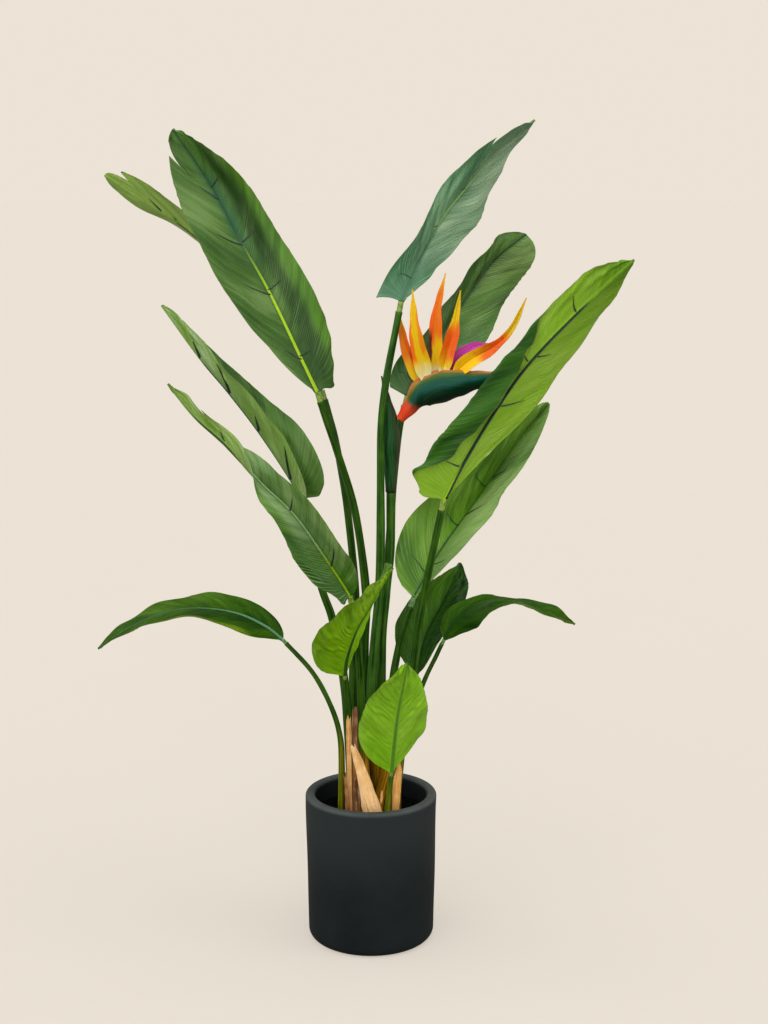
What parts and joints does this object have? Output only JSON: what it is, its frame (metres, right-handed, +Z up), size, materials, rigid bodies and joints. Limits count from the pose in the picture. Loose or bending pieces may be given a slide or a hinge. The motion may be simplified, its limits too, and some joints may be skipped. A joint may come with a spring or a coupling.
{
  "type": "potted bird of paradise plant",
  "caption": "Potted bird of paradise with long paddle leaves on stiff stalks and one crane-like orange flower, standing in a plain round dark pot.",
  "frame": {"origin": "centre of the pot's flat foot, on the surface that it stands on", "axes": "+Z up along the pot's axis, -Y towards the viewer, +X to the side that the flower points to"},
  "size_m": [0.6198, 0.3513, 0.9906],
  "materials": {
    "pot": "matte",
    "soil": "matte",
    "leaf": "satin",
    "young_leaf": "satin",
    "stalk": "satin",
    "bract": "satin",
    "spathe": "satin",
    "sepal": "matte",
    "petal": "matte",
    "dry_sheath": "matte"
  },
  "bodies": {
    "root": {"pot": "pot", "soil": "soil", "leaf_01": "leaf", "leaf_02": "leaf", "leaf_03": "leaf", "leaf_04": "leaf", "leaf_05": "young_leaf", "leaf_06": "young_leaf", "leaf_07": "young_leaf", "leaf_08": "leaf", "leaf_09": "leaf", "leaf_10": "leaf", "leaf_11": "leaf", "leaf_12": "young_leaf", "leaf_13": "young_leaf", "stalk_01": "stalk", "stalk_02": "stalk", "stalk_03": "stalk", "stalk_04": "stalk", "stalk_05": "stalk", "stalk_06": "stalk", "stalk_07": "stalk", "stalk_08": "stalk", "stalk_09": "stalk", "stalk_10": "stalk", "stalk_11": "stalk", "stalk_12": "stalk", "stalk_13": "stalk", "dry_sheath_1": "dry_sheath", "dry_sheath_2": "dry_sheath", "dry_sheath_3": "dry_sheath", "dry_sheath_4": "dry_sheath", "dry_sheath_5": "dry_sheath", "flower_stem": "stalk", "flower_bract": "bract", "flower_spathe": "spathe", "sepal_1": "sepal", "sepal_2": "sepal", "sepal_3": "sepal", "sepal_4": "sepal", "sepal_5": "sepal", "petal": "petal"}
  },
  "joints": []
}
